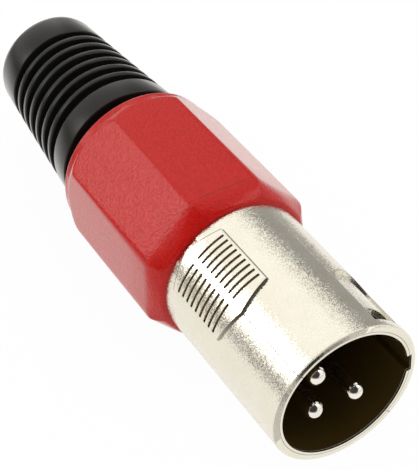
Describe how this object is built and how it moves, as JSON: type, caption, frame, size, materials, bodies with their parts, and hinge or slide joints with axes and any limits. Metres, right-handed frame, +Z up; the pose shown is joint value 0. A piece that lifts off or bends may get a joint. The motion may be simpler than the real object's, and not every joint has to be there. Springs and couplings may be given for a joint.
{
  "type": "three-pin cable plug",
  "caption": "Round metal audio plug with domed contact pins, an octagonal screw-on nut and a grooved rubber strain-relief boot.",
  "frame": {"origin": "centre of the mouth's plane, on the plug's axis", "axes": "+Y along the plug's axis from the mouth to the boot, +Z up with the plug lying on one flat of its nut, +X to the right for someone who looks into the mouth"},
  "size_m": [0.0208, 0.0721, 0.0208],
  "materials": {
    "nickel": "satin",
    "insert_plastic": "matte",
    "contact": "polished",
    "clamp_plastic": "matte",
    "nut_plastic": "satin",
    "boot_rubber": "matte"
  },
  "bodies": {
    "plug": {"shell": "nickel", "insert": "insert_plastic", "pin_1": "contact", "pin_2": "contact", "pin_3": "contact", "ground_contact": "contact", "cable_clamp": "clamp_plastic"},
    "boot": {"boot": "boot_rubber"},
    "nut": {"nut": "nut_plastic"}
  },
  "joints": [
    {"name": "nut_advance", "type": "slide", "parent": "plug", "child": "boot", "axis": [0, 1, 0], "range_m": [0, 0.005]},
    {"name": "nut_turn", "type": "hinge", "parent": "boot", "child": "nut", "pos_m": [0, 0.034, 0], "axis": [0, 1, 0], "range_deg": [0, 1440]}
  ],
  "couplings": [
    {"joint": "nut_advance", "follows": "nut_turn", "m_per_rad": 0.00019894}
  ]
}
